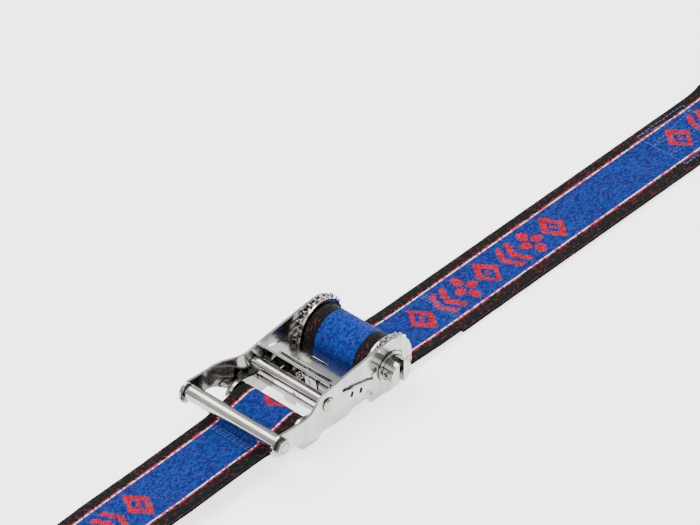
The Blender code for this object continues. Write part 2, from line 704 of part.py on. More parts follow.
def s_hook(name, direction, tip_side):
    """A coated rod: a closed eye round the webbing, a shank and an open bow."""
    corners = [
        (20.3 * MM, -6.8 * MM, 0),
        (8.5 * MM, -14.4 * MM, 8 * MM),
        (0, -14.4 * MM, 5.8 * MM),
        (0, 14.4 * MM, 5.8 * MM),
        (9 * MM, 14.4 * MM, 7 * MM),
        (35 * MM, -13.8 * MM, 18 * MM),
        (BOW_V, -13.8 * MM, 17.4 * MM),
        (BOW_V, 21 * MM, 17.4 * MM),
        (42.6 * MM, 21 * MM, 0),
    ]
    line = rounded(corners, step=15, closed=False)
    points = [(direction * v * cos(HOOK_DROP), tip_side * u, -v * sin(HOOK_DROP)) for v, u in line]
    origin = Vector((direction * EYE_X, 0, EYE_Z))
    wire(name, points, ROD_RADIUS, VINYL, origin, resolution=4)


clear_scene()
PARTS = new_collection("ratchet_tie_down")
CUTTERS = new_collection("cutters")
for plate_side in (1, -1):
    base_plate(plate_side)
    handle_plate(plate_side)
base_spacer()
anchor_bolt()
drum()
cross_rod()
grip()
handle_pawl()
base_pawl()
coil_spring("handle_pawl_spring", HANDLE_PAWL_AT, HANDLE_PAWL_TILT, -12 * MM, -24.6 * MM, -2.9 * MM)
coil_spring("base_pawl_spring", BASE_PAWL_AT, BASE_PAWL_TILT, -15.9 * MM, -28.5 * MM, 4.1 * MM)
fixed_strap()
long_strap()
s_hook("fixed_hook", -1, 1)
s_hook("long_hook", 1, -1)
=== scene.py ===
"""The looks of a ratchet tie-down: polished steel, patterned webbing and dipped S-hooks.

Lengths are in metres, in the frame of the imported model: the drum's axis runs along Y above the origin.
"""

import json
from math import acos, asin, atan2, ceil, cos, degrees, hypot, pi, radians, sin, tan

import bmesh
import bpy
from mathutils import Matrix, Vector, noise


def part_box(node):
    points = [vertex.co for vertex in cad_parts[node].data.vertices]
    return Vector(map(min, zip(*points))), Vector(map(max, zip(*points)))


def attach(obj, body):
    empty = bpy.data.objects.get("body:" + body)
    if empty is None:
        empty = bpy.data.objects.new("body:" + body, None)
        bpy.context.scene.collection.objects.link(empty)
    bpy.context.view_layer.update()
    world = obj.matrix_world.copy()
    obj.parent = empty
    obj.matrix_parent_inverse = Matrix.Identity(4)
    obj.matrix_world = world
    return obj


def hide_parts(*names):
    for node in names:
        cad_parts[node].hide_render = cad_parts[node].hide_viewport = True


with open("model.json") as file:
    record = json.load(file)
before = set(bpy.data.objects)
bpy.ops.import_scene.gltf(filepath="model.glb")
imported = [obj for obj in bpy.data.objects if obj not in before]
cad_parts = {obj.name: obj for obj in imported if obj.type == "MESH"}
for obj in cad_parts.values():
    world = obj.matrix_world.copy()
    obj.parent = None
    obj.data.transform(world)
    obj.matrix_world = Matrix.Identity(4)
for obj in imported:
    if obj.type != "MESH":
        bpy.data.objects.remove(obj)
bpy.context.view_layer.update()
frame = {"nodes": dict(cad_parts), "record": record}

MM = 0.001
GAP = 0.3 * MM

# Places read from the frame.
ROLL_LOW, ROLL_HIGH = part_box("wound_webbing")
SLEEVE_LOW, SLEEVE_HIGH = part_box("anchor_sleeve")
ROLL_RADIUS = (ROLL_HIGH.z - ROLL_LOW.z) / 2
DRUM_Z = (ROLL_HIGH.z + ROLL_LOW.z) / 2
WEBBING_WIDTH = ROLL_HIGH.y - ROLL_LOW.y
SLEEVE_RADIUS = (SLEEVE_HIGH.z - SLEEVE_LOW.z) / 2
ANCHOR = ((SLEEVE_HIGH.x + SLEEVE_LOW.x) / 2, (SLEEVE_HIGH.z + SLEEVE_LOW.z) / 2)

# Webbing.
WEBBING_THICK = 1.5 * MM
LAYER_HALF = (WEBBING_THICK + GAP) / 2
FOLDED_WIDTH = 17.6 * MM
TAPER_START, TAPER_END = 5.5 * MM, 20 * MM
TAIL_LENGTH = 235 * MM
PINCH = 24 * MM
ROW_STEP = 1.3 * MM
COLUMNS = 26
SELVEDGE = 1.1 * MM
PLEATS, PLEAT_RISE = 3, 2.1 * MM
BAR_STEPS = 40
REST_LENGTH = 32 * MM
DESCENT_START, DESCENT_LENGTH, DESCENT_STEPS = 4 * MM, 44 * MM, 12
ROLL_INNER, ROLL_CLEAR, PLY_GAP = 7.9 * MM, 0.02 * MM, 0.05 * MM
STEPS_PER_TURN = 60

# Pattern, in millimetres across and along the webbing.
BLUE_HALF, LINE_OUTER, SPECK_OUTER = 12.3, 13.0, 14.0
YARN_ACROSS, YARN_ALONG = 0.86, 1.35
FIXED_START, LONG_START = 3.7 * MM, 165.4 * MM
MOTIF_PITCH, MOTIFS_IN_GROUP, GROUP_SLOTS = 15.6, 7, 12
DIAMOND_ALONG, DIAMOND_ACROSS = 7.2, 9.8
PETAL_ALONG, PETAL_ACROSS, PETAL_RADIUS = 4.0, 6.0, 2.7
CHEVRON_PITCH, CHEVRON_HALF, CHEVRON_START = 6.6, 8.8, 4.4

# S-hooks: the eye bar lies across the strap, and v runs away from it.
ROD_RADIUS = 4.75 * MM
EYE_X, EYE_Z = 292.6 * MM, 6.6 * MM
BOW_V = 73.1 * MM
HOOK_DROP = asin((EYE_Z - ROD_RADIUS) / BOW_V)
EYE_LOOP = ROD_RADIUS + GAP + WEBBING_THICK / 2
ROD_SIDES = 28
DIP_ROUNDING, DIP_TAPER = 2.6 * MM, 0.42
DIP_UNEVEN, DIP_UNDER = 0.09 * MM, 0.05 * MM

# Seams.
STITCH_LONG, STITCH_RADIUS = 2.6 * MM, 0.24 * MM
STITCH_STAND, STITCH_SUNK = 0.05 * MM, 0.08 * MM
SEAM_HALF, SEAM_BENDS = 15.6 * MM, 6
FIXED_SEAM, LONG_SEAM = (32 * MM, 66 * MM), (70 * MM, 36 * MM)
TACKS, TACK_HALF, TACK_STEP = 3, 11.5 * MM, 1.4 * MM

# Finishes: the lighter and the darker of two linear colours.
PLATE_FINISH = ((0.45, 0.444, 0.424), (0.31, 0.306, 0.297))
TURNED_FINISH = ((0.44, 0.432, 0.398), (0.31, 0.304, 0.28))
WIRE_FINISH = ((0.45, 0.45, 0.44), (0.32, 0.32, 0.31))
VINYL_FINISH = ((0.014, 0.014, 0.015), (0.0022, 0.0022, 0.0025))
# The thread's darker colour is painted shade between its plies.
THREAD_COLOUR_AND_PLY_SHADE = ((0.05, 0.12, 0.42), (0.010, 0.018, 0.09))
BLUE_YARN = ((0.005, 0.054, 0.37), (0.0010, 0.007, 0.12))
BLACK_YARN = ((0.009, 0.010, 0.009), (0.001, 0.001, 0.001))
RED_YARN = ((0.68, 0.006, 0.045), (0.34, 0.001, 0.015))
PURPLE_YARN = (0.09, 0.012, 0.24)
WHITE_YARN, PINK_YARN = (0.85, 0.80, 0.86), (0.75, 0.10, 0.18)
SPECK_RED, FADED_RED = (0.40, 0.006, 0.03), (0.16, 0.012, 0.02)

# The view's direction, and how wide it is at the drum.
AZIMUTH, ELEVATION = radians(-47.6), radians(39.1)
VIEW_WIDTH = 327 * MM
LENS, SENSOR = 400.0, 36.0
AIM_UP, AIM_RIGHT = 37.9 * MM, -0.8 * MM
NEAREST, FARTHEST = 0.1, 60
FLOOR_SIZE, FLOOR_GLOW = 60, 2.0

SLOTS = {row["node"]: row["material_slot"] for row in frame["record"]["subparts"]}
BODIES = {n: body for body, nodes in frame["record"]["behaviour"]["bodies"].items() for n in nodes}


# Shader maths


class Value:
    """A number in a node tree, so that shader maths reads as plain maths."""

    def __init__(self, tree, socket):
        self.tree, self.socket = tree, socket

    def math(self, operation, *others):
        node = self.tree.nodes.new("ShaderNodeMath")
        node.operation = operation
        for slot, value in zip(node.inputs, (self, *others)):
            if isinstance(value, Value):
                self.tree.links.new(value.socket, slot)
            else:
                slot.default_value = value
        return Value(self.tree, node.outputs[0])

    def __add__(self, other):
        return self.math("ADD", other)

    def __sub__(self, other):
        return self.math("SUBTRACT", other)

    def __mul__(self, other):
        return self.math("MULTIPLY", other)

    def __truediv__(self, other):
        return self.math("DIVIDE", other)

    def __lt__(self, other):
        return self.math("LESS_THAN", other)

    def __gt__(self, other):
        return self.math("GREATER_THAN", other)

    def __abs__(self):
        return self.math("ABSOLUTE")

    def floor(self):
        return self.math("FLOOR")

    def fract(self):
        return self.math("FRACT")

    def smooth(self, low, high):
        """0 below low and 1 above high, eased between them."""
        node = self.tree.nodes.new("ShaderNodeMapRange")
        node.interpolation_type = "SMOOTHSTEP"
        self.tree.links.new(self.socket, node.inputs["Value"])
        node.inputs["From Min"].default_value = low
        node.inputs["From Max"].default_value = high
        return Value(self.tree, node.outputs["Result"])


def joined(tree, *values):
    node = tree.nodes.new("ShaderNodeCombineXYZ")
    for slot, value in zip(node.inputs, values):
        if isinstance(value, Value):
            tree.links.new(value.socket, slot)
        else:
            slot.default_value = value
    return node.outputs[0]


def noise_value(tree, vector, scale, detail):
    node = tree.nodes.new("ShaderNodeTexNoise")
    node.inputs["Scale"].default_value = scale
    node.inputs["Detail"].default_value = detail
    tree.links.new(vector, node.inputs["Vector"])
    return Value(tree, node.outputs["Fac"])


def random_value(tree, *values):
    """A random number for each cell, from the cell's whole numbers."""
    node = tree.nodes.new("ShaderNodeTexWhiteNoise")
    tree.links.new(joined(tree, *values), node.inputs["Vector"])
    return Value(tree, node.outputs["Value"])


def mixed(tree, share, first, second):
    """Between two colours, each a tuple or a socket."""
    node = tree.nodes.new("ShaderNodeMix")
    node.data_type = "RGBA"
    tree.links.new(share.socket, node.inputs[0])
    for slot, colour in ((node.inputs[6], first), (node.inputs[7], second)):
        if isinstance(colour, tuple):
            slot.default_value = (*colour, 1)
        else:
            tree.links.new(colour, slot)
    return node.outputs[2]


def new_material(name, roughness, metallic=0.0):
    made = bpy.data.materials.new(name)
    made.use_nodes = True
    shader = made.node_tree.nodes["Principled BSDF"]
    shader.inputs["Roughness"].default_value = roughness
    shader.inputs["Metallic"].default_value = metallic
    return made, made.node_tree, shader


def bump(tree, shader, height, distance, strength):
    node = tree.nodes.new("ShaderNodeBump")
    node.inputs["Distance"].default_value = distance
    node.inputs["Strength"].default_value = strength
    tree.links.new(height.socket, node.inputs["Height"])
    tree.links.new(node.outputs[0], shader.inputs["Normal"])


def set_to(tree, value, slot):
    tree.links.new(value.socket if isinstance(value, Value) else value, slot)


def object_place(tree, stretch=(1, 1, 1)):
    """The point's place in its own piece, stretched along the axes."""
    place = tree.nodes.new("ShaderNodeTexCoord").outputs["Object"]
    mapping = tree.nodes.new("ShaderNodeMapping")
    mapping.inputs["Scale"].default_value = stretch
    tree.links.new(place, mapping.inputs["Vector"])
    return mapping.outputs[0]


def steel(name, finish, roughness, grain=(1, 1, 1)):
    """Polished steel: faint rolling lines, soft smears, small scratches and a slightly wavy sheet."""
    made, tree, shader = new_material(name, roughness, metallic=1.0)
    lines = noise_value(tree, object_place(tree, grain), 900, 3)
    smears = noise_value(tree, object_place(tree), 85, 4)
    waves = noise_value(tree, object_place(tree), 60, 1)
    scratches = noise_value(tree, object_place(tree, (1, 6, 14)), 380, 1).smooth(0.70, 0.76)
    tone = (smears * 0.7 + lines * 0.3).smooth(0.32, 0.68)
    light_tone, dark_tone = finish
    set_to(tree, mixed(tree, tone, dark_tone, light_tone), shader.inputs["Base Color"])
    spread = smears.smooth(0.35, 0.75) * 0.07 + lines * 0.07 + scratches * 0.10
    set_to(tree, spread + (roughness - 0.07), shader.inputs["Roughness"])
    bump(tree, shader, waves + lines * 0.02 + scratches * 0.02, 0.00012, 0.35)
    return made


def vinyl():
    """Black dipped coating: a soft gloss with a fine peel, and paler rubbed places."""
    made, tree, shader = new_material("black_vinyl", 0.34)
    peel = noise_value(tree, object_place(tree), 1300, 2)
    smears = noise_value(tree, object_place(tree), 140, 4)
    rubbed = noise_value(tree, object_place(tree, (1, 1, 2)), 260, 5).smooth(0.60, 0.75)
    pale, deep = VINYL_FINISH
    colour = mixed(tree, rubbed * 0.55, deep, pale)
    set_to(tree, colour, shader.inputs["Base Color"])
    set_to(tree, smears.smooth(0.3, 0.7) * 0.12 + rubbed * 0.12 + 0.20, shader.inputs["Roughness"])
    shader.inputs["Specular IOR Level"].default_value = 0.32
    bump(tree, shader, peel * 0.5 + smears, 0.0001, 0.5)
    return made


def motifs(across, along):
    """1 inside the red woven motifs: ringed diamonds, flowers and pairs of chevrons, in groups."""
    step = along / MOTIF_PITCH
    place = step.floor()
    u = (step.fract() - 0.5) * MOTIF_PITCH
    v = abs(across)
    kind = (place / 3).fract() * 3
    shown = ((place / GROUP_SLOTS).fract() * GROUP_SLOTS) < (MOTIFS_IN_GROUP - 0.5)

    reach = abs(u) / DIAMOND_ALONG + v / DIAMOND_ACROSS
    diamond = (reach < 1.0) * (reach > 0.52) + (reach < 0.22)
    petal_u = ((abs(u) - PETAL_ALONG).math("POWER", 2) * 0.8 + v * v).math("SQRT")
    petal_v = (u * u + (v - PETAL_ACROSS).math("POWER", 2) * 0.7).math("SQRT")
    flower = (petal_u.math("MINIMUM", petal_v) < PETAL_RADIUS) * (reach > 0.16)
    slant = (u + v * 0.5 + CHEVRON_START) / CHEVRON_PITCH
    chevrons = (slant.fract() < 0.55) * (abs(slant - 0.5) < 1.0) * (v < CHEVRON_HALF)

    first, second = kind < 0.5, (kind > 0.5) * (kind < 1.5)
    third = kind > 1.5
    return (diamond * first + flower * second + chevrons * third) * shown


def webbing(name, patterned=True, painted_light_scale=1.0):
    """Woven polyester: blue ground, black edges, a white and red line between them, and red motifs, with
    painted shade between the yarns.
    """
    made, tree, shader = new_material(name, 0.75)
    uv = tree.nodes.new("ShaderNodeUVMap")
    uv.uv_map = "strap"
    split = tree.nodes.new("ShaderNodeSeparateXYZ")
    tree.links.new(uv.outputs[0], split.inputs[0])
    across = Value(tree, split.outputs[0]) * 1000
    along = Value(tree, split.outputs[1]) * 1000

    column = (across / YARN_ACROSS).floor()
    stagger = (column / 2).fract()
    run = along / YARN_ALONG + stagger
    row = run.floor()
    from_middle = abs((across / YARN_ACROSS).fract() - 0.5) * 2
    from_centre = abs(run.fract() - 0.5) * 2
    swell = (from_middle * from_middle * -0.8 + 1) * (from_centre * from_centre * -0.9 + 1)
    chance = random_value(tree, column, row, 3)
    other_chance = random_value(tree, row, column, 8)
    fibres = noise_value(tree, joined(tree, across * 9, along * 2.2, 0), 1.0, 2)
    patches = noise_value(tree, joined(tree, across, along, 0), 0.11, 3)

    woven_across = (column + 0.5) * YARN_ACROSS
    woven_along = (row - stagger + 0.5) * YARN_ALONG
    edge = abs(woven_across)

    # Each yarn colour scaled by the brightness factor: above 1 it is painted light, a lighter copy of
    # the same webbing.
    def with_painted_light(colour):
        return tuple(part * painted_light_scale for part in colour)

    def yarn(finish):
        pale, deep = finish
        return mixed(tree, chance, with_painted_light(deep), with_painted_light(pale))

    blue = mixed(tree, (other_chance > 0.95) * 0.5, yarn(BLUE_YARN), with_painted_light(PURPLE_YARN))
    black = mixed(tree, chance, *reversed(BLACK_YARN))
    red = yarn(RED_YARN)
    colour = mixed(tree, edge > BLUE_HALF, blue, black)
    if patterned:
        colour = mixed(tree, motifs(woven_across, woven_along), colour, red)
        colour = mixed(tree, edge > BLUE_HALF, colour, black)
        line = (edge > BLUE_HALF) * (edge < LINE_OUTER)
        pale = mixed(tree, other_chance > 0.72, WHITE_YARN, PINK_YARN)
        colour = mixed(tree, line, colour, pale)
        specks = (edge > LINE_OUTER) * (edge < SPECK_OUTER) * (chance > 0.30)
        colour = mixed(tree, specks * 0.85, colour, SPECK_RED)
    rare = (edge > SPECK_OUTER) * (other_chance > 0.90)
    colour = mixed(tree, rare * 0.6, colour, FADED_RED)

    darken = tree.nodes.new("ShaderNodeMix")
    darken.data_type = "RGBA"
    darken.blend_type = "MULTIPLY"
    darken.inputs[0].default_value = 1
    tree.links.new(colour, darken.inputs[6])
    # Painted shade: each yarn darker towards its edges, where it dips under its neighbours; times random
    # fibre and patch tone.
    yarn_shade_and_tone = swell * 0.85 + fibres * 0.25 + patches * 0.2 + 0.05
    tree.links.new(joined(tree, yarn_shade_and_tone, yarn_shade_and_tone, yarn_shade_and_tone), darken.inputs[7])
    tree.links.new(darken.outputs[2], shader.inputs["Base Color"])
    set_to(tree, fibres * 0.25 + 0.58, shader.inputs["Roughness"])
    shader.inputs["Sheen Weight"].default_value = 0.03
    shader.inputs["Sheen Roughness"].default_value = 0.4
    shader.inputs["Specular IOR Level"].default_value = 0.12
    bump(tree, shader, swell + fibres * 0.35, 0.00035, 0.8)
    return made


def thread():
    """Sewing thread, with painted shade between its twisted plies."""
    made, tree, shader = new_material("sewing_thread", 0.6)
    twist = noise_value(tree, object_place(tree), 2600, 1)
    pale, deep = THREAD_COLOUR_AND_PLY_SHADE
    colour = mixed(tree, twist.smooth(0.35, 0.65), deep, pale)
    set_to(tree, colour, shader.inputs["Base Color"])
    shader.inputs["Sheen Weight"].default_value = 0.2
    bump(tree, shader, twist, 0.0001, 0.6)
    return made


# Shapes


def new_piece(name, mesh, material, body, slot, *nodes):
    """Puts a mesh in the scene as a piece that rides a body and stands for these nodes."""
    obj = bpy.data.objects.new(name, mesh)
    bpy.context.scene.collection.objects.link(obj)
    mesh.materials.clear()
    mesh.materials.append(material)
    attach(obj, body)
    if nodes:
        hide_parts(*nodes)
    return obj


def refined(node, material, bevel=0.22 * MM):
    """A copy of a packed steel part with its flat faces whole and its edges rounded."""
    edit = bmesh.new()
    edit.from_mesh(frame["nodes"][node].data)
    bmesh.ops.remove_doubles(edit, verts=edit.verts, dist=1e-6)
    bmesh.ops.dissolve_limit(edit, angle_limit=radians(1), verts=edit.verts, edges=edit.edges)
    mesh = bpy.data.meshes.new(node + "_shape")
    edit.to_mesh(mesh)
    edit.free()
    if "custom_normal" in mesh.attributes:
        mesh.attributes.remove(mesh.attributes["custom_normal"])
    mesh.shade_smooth()
    piece = new_piece(node + "_finished", mesh, material, BODIES[node], SLOTS[node], node)
    if bevel:
        rounding = piece.modifiers.new("rounded_edges", "BEVEL")
        rounding.width = bevel
        rounding.segments = 2
        rounding.limit_method = "ANGLE"
        rounding.angle_limit = radians(32)
        rounding.miter_outer = "MITER_ARC"
        rounding.harden_normals = True
    else:
        mesh.set_sharp_from_angle(angle=radians(35))
    return piece


def arc(centre, radius, first, last, steps):
    turns = [radians(first + (last - first) * n / steps) for n in range(steps + 1)]
    return [(centre[0] + radius * cos(t), centre[1] + radius * sin(t)) for t in turns]


def rounded(corners, step):
    """An open line through (u, v, radius) corners, each rounded by an arc of that radius."""
    points = []
    for n, (u, v, radius) in enumerate(corners):
        if n in (0, len(corners) - 1):
            points.append((u, v))
            continue
        here = Vector((u, v))
        before = (Vector(corners[n - 1][:2]) - here).normalized()
        after = (Vector(corners[n + 1][:2]) - here).normalized()
        opening = acos(max(-1, min(1, before.dot(after))))
        reach = radius / tan(opening / 2)
        middle = here + (before + after).normalized() * (radius / sin(opening / 2))
        start, end = here + before * reach - middle, here + after * reach - middle
        sweep = degrees(start.angle_signed(end))
        first = degrees(atan2(start.y, start.x))
        points += arc(middle, radius, first, first - sweep, max(2, ceil(abs(sweep) / step)))
    return points


def resampled(path, step):
    """The same line with points a step apart."""
    points = [Vector(p) for p in path]
    lengths = [(b - a).length for a, b in zip(points, points[1:])]
    total = sum(lengths)
    count = max(2, round(total / step))
    made, segment, passed = [], 0, 0.0
    for n in range(count + 1):
        at = min(total * n / count, total - 1e-9)
        while passed + lengths[segment] < at:
            passed += lengths[segment]
            segment += 1
        share = (at - passed) / lengths[segment]
        made.append(points[segment].lerp(points[segment + 1], share))
    return made


def eased(points, passes):
    """Softens a line's corners and keeps its ends."""
    for _ in range(passes):
        middle = [(a + 2 * b + c) / 4 for a, b, c in zip(points, points[1:], points[2:])]
        points = [points[0], *middle, points[-1]]
    return points


def half_width(x, eye_x):
    """Half the webbing's width where it narrows towards a hook's eye."""
    along = max(0, min(1, (abs(x - eye_x) - TAPER_START) / (TAPER_END - TAPER_START)))
    return (FOLDED_WIDTH + (WEBBING_WIDTH - FOLDED_WIDTH) * along * along * (3 - 2 * along)) / 2


def ribbon(name, path, material, body, node, eye_x=None, start=0.0, wander=0.0, seed=0.0):
    """Webbing along (x, z) points, with rounded edges, and gathered into pleats at a hook's eye."""
    mesh = bpy.data.meshes.new(name)
    edit = bmesh.new()
    uv = edit.loops.layers.uv.new("strap")
    spots = [2 * n / COLUMNS - 1 for n in range(COLUMNS + 1)]
    spots = [sin(spot * pi / 2) * 0.35 + spot * 0.65 for spot in spots]
    rows, reach = [], start
    for n, point in enumerate(path):
        before, after = path[max(0, n - 1)], path[min(len(path) - 1, n + 1)]
        tangent = (after - before).normalized()
        outward = Vector((tangent.y, -tangent.x))
        if n:
            reach += (point - path[n - 1]).length
        half = WEBBING_WIDTH / 2 if eye_x is None else half_width(point.x, eye_x)
        gather = (WEBBING_WIDTH / 2 - half) / (WEBBING_WIDTH - FOLDED_WIDTH) * 2
        free = max(0, min(1, outward.y * 1.6 + 0.5)) if eye_x is not None else 0
        row = []
        for side in (1, -1):
            for spot in spots if side > 0 else reversed(spots):
                y = spot * half
                inset = max(0, (abs(spot) - 1) * WEBBING_WIDTH / 2 + SELVEDGE) / SELVEDGE
                thick = WEBBING_THICK / 2 * max(0.16, 1 - inset * inset) ** 0.5
                pleat = (1 - cos(2 * pi * spot * PLEATS / 2)) / 2 * PLEAT_RISE * gather * free
                drift = Vector((point.x * 28, y * 45, seed))
                lift = noise.noise(drift) * wander
                offset = outward * (side * thick + pleat)
                y += noise.noise(Vector((point.x * 150, spot, seed + 5))) * 0.12 * MM * abs(spot)
                row.append((point.x + offset.x, y, point.y + offset.y + lift, spot, reach))
        rows.append(row)
    made = [[edit.verts.new(place[:3]) for place in row] for row in rows]
    count = len(made[0])

    def face(corners):
        built = edit.faces.new([vertex for vertex, _ in corners])
        for loop, (_, place) in zip(built.loops, corners):
            loop[uv].uv = (place[3] * WEBBING_WIDTH / 2, place[4])
        built.smooth = True

    for n in range(len(made) - 1):
        for m in range(count):
            k = (m + 1) % count
            face([(made[a][b], rows[a][b]) for a, b in ((n, m), (n, k), (n + 1, k), (n + 1, m))])
    for n, order in ((0, -1), (len(made) - 1, 1)):
        for m in range(COLUMNS):
            quad = [m, m + 1, count - 2 - m, count - 1 - m][::order]
            face([(made[n][b], rows[n][b]) for b in quad])
    bmesh.ops.recalc_face_normals(edit, faces=edit.faces)
    edit.to_mesh(mesh)
    edit.free()
    return new_piece(name, mesh, material, body, SLOTS[node], node)


def wrap(centre, radius, pinch):
    """The turn around a bar, from its upper pinch point round to its lower one."""
    away = Vector(pinch) - Vector(centre)
    heading = degrees(atan2(away.y, away.x))
    side = Vector((-away.y, away.x)).normalized() * LAYER_HALF
    if side.y < 0:
        side.negate()
    spread = degrees(acos(radius / hypot(away.length, LAYER_HALF)) + atan2(LAYER_HALF, away.length))
    turn = spread if away.x > 0 else -spread
    whole = (360 - 2 * spread) * (1 if turn > 0 else -1)
    round_bar = arc(centre, radius, heading + turn, heading + turn + whole, BAR_STEPS)
    return Vector(pinch) + side, round_bar, Vector(pinch) - side


def fixed_strap(material):
    """A sewn loop: its ends meet underneath, between the two seams."""
    anchor, eye = Vector(ANCHOR), Vector((-EYE_X, EYE_Z))
    along = (eye - anchor).normalized()
    anchor_loop = SLEEVE_RADIUS + GAP + WEBBING_THICK / 2
    top_a, round_anchor, bottom_a = wrap(anchor, anchor_loop, anchor + along * PINCH)
    top_e, round_eye, bottom_e = wrap(eye, EYE_LOOP, eye - along * PINCH)
    meeting = (bottom_a + bottom_e) / 2
    path = [meeting, bottom_e, *reversed(round_eye), top_e, top_a, *round_anchor, bottom_a, meeting]
    path = eased(resampled(path, ROW_STEP), 3)
    return ribbon("fixed_strap_webbing", path, material, "fixed_strap", "fixed_webbing",
                  eye_x=-EYE_X, start=FIXED_START, wander=0.5 * MM, seed=2.0)


def long_strap(material):
    """From under the roll, round the hook's eye, and back underneath to its sewn end."""
    roll_level = DRUM_Z - ROLL_RADIUS - GAP - WEBBING_THICK / 2
    lower = GAP + WEBBING_THICK / 2
    upper = lower + 2 * LAYER_HALF
    rest_x = EYE_X - REST_LENGTH
    pinch = Vector((EYE_X - PINCH, (lower + upper) / 2 + 0.5 * MM))
    top, round_eye, bottom = wrap((EYE_X, EYE_Z), EYE_LOOP, pinch)
    descent = []
    for n in range(DESCENT_STEPS + 1):
        t = n / DESCENT_STEPS
        height = roll_level + (upper - roll_level) * t * t * (3 - 2 * t)
        descent.append((DESCENT_START + DESCENT_LENGTH * t, height))
    path = [(EYE_X - TAIL_LENGTH, lower), (rest_x, lower), bottom, *reversed(round_eye), top]
    path += [(rest_x, upper), *reversed(descent), (1 * MM, roll_level)]
    path = eased(resampled(path, ROW_STEP), 3)
    return ribbon("long_strap_webbing", path, material, "long_strap", "long_webbing",
                  eye_x=EYE_X, start=LONG_START, seed=7.0)


def roll(material):
    """The turns on the drum, as one spiral whose outer end lies where the long strap leaves."""
    outer = ROLL_RADIUS - WEBBING_THICK / 2 - ROLL_CLEAR
    turns = (outer - ROLL_INNER) / (WEBBING_THICK + PLY_GAP)
    steps = round(turns * STEPS_PER_TURN)
    path = []
    for n in range(steps + 1):
        turn = -pi / 2 - 2 * pi * turns * (1 - n / steps)
        radius = ROLL_INNER + (outer - ROLL_INNER) * n / steps
        path.append(Vector((radius * cos(turn), DRUM_Z + radius * sin(turn))))
    return ribbon("wound_webbing_turns", path, material, "drum", "wound_webbing", start=0.2)


def hook_line():
    corners = [
        (20.3 * MM, -6.8 * MM, 0),
        (8.5 * MM, -14.4 * MM, 8 * MM),
        (0, -14.4 * MM, 5.8 * MM),
        (0, 14.4 * MM, 5.8 * MM),
        (9 * MM, 14.4 * MM, 7 * MM),
        (35 * MM, -13.8 * MM, 18 * MM),
        (BOW_V, -13.8 * MM, 17.4 * MM),
        (BOW_V, 21 * MM, 17.4 * MM),
        (42.6 * MM, 21 * MM, 0),
    ]
    return eased(resampled(rounded(corners, 6), 1.2 * MM), 4)


def s_hook(name, node, material, direction, tip_side):
    """A rod bent to an eye and a bow, dipped in vinyl that rounds its ends."""
    places = [
        Vector((direction * (EYE_X + v * cos(HOOK_DROP)), tip_side * u, EYE_Z - v * sin(HOOK_DROP)))
        for v, u in hook_line()
    ]
    up = Vector((direction * sin(HOOK_DROP), 0, cos(HOOK_DROP)))
    lengths = [0.0]
    for a, b in zip(places, places[1:]):
        lengths.append(lengths[-1] + (b - a).length)
    edit = bmesh.new()
    rings = []
    for n, place in enumerate(places):
        ahead = (places[min(n + 1, len(places) - 1)] - places[max(n - 1, 0)]).normalized()
        across = up.cross(ahead).normalized()
        from_end = min(lengths[n], lengths[-1] - lengths[n])
        close = max(0, 1 - from_end / DIP_ROUNDING)
        size = ROD_RADIUS * (1 - DIP_TAPER * close * close)
        ring = []
        for m in range(ROD_SIDES):
            turn = 2 * pi * m / ROD_SIDES
            out = across * cos(turn) + up * sin(turn)
            uneven = noise.noise(place * 90 + out * 0.6) * DIP_UNEVEN
            ring.append(edit.verts.new(place + out * (size + uneven - DIP_UNDER)))
        rings.append(ring)
    for first, second in zip(rings, rings[1:]):
        for m in range(ROD_SIDES):
            k = (m + 1) % ROD_SIDES
            edit.faces.new((first[m], first[k], second[k], second[m])).smooth = True
    for ring in (rings[0], rings[-1]):
        middle = sum((vertex.co for vertex in ring), Vector()) / ROD_SIDES
        centre = edit.verts.new(middle)
        for m in range(ROD_SIDES):
            edit.faces.new((ring[m], ring[(m + 1) % ROD_SIDES], centre)).smooth = True
    bmesh.ops.recalc_face_normals(edit, faces=edit.faces)
    mesh = bpy.data.meshes.new(name)
    edit.to_mesh(mesh)
    edit.free()
    return new_piece(name, mesh, material, BODIES[node], SLOTS[node], node)


def stitches(name, material, body, slot, lines, surfaces):
    """Rows of stitches: short rounded threads laid end to end along each line, on each surface."""
    edit = bmesh.new()
    size = Matrix.Diagonal((STITCH_LONG * 0.43, STITCH_RADIUS, STITCH_RADIUS, 1))
    for start, end in lines:
        start, end = Vector(start), Vector(end)
        count = max(1, round((end - start).length / STITCH_LONG))
        heading = (end - start).normalized()
        for n in range(count):
            x, y = start.lerp(end, (n + 0.5) / count)
            for height in surfaces:
                z, slope = height(x)
                lie = Vector((heading.x, heading.y, heading.x * slope)).normalized()
                turn = lie.to_track_quat("X", "Z").to_matrix().to_4x4()
                place = Matrix.Translation((x, y, z)) @ turn @ size
                bmesh.ops.create_icosphere(edit, subdivisions=2, radius=1, matrix=place)
    for face in edit.faces:
        face.smooth = True
    mesh = bpy.data.meshes.new(name)
    edit.to_mesh(mesh)
    edit.free()
    return new_piece(name, mesh, material, body, slot)


def seam_lines(first, last, half):
    """A box of stitching with a zigzag inside it, from x = first to x = last."""
    lines = [((first, -half), (last, -half)), ((first, half), (last, half))]
    lines += [((first, -half), (first, half)), ((last, -half), (last, half))]
    for n in range(SEAM_BENDS):
        a, b = -half + 2 * half * n / SEAM_BENDS, -half + 2 * half * (n + 1) / SEAM_BENDS
        ends = (first, last) if n % 2 == 0 else (last, first)
        lines.append(((ends[0], a), (ends[1], b)))
    return lines


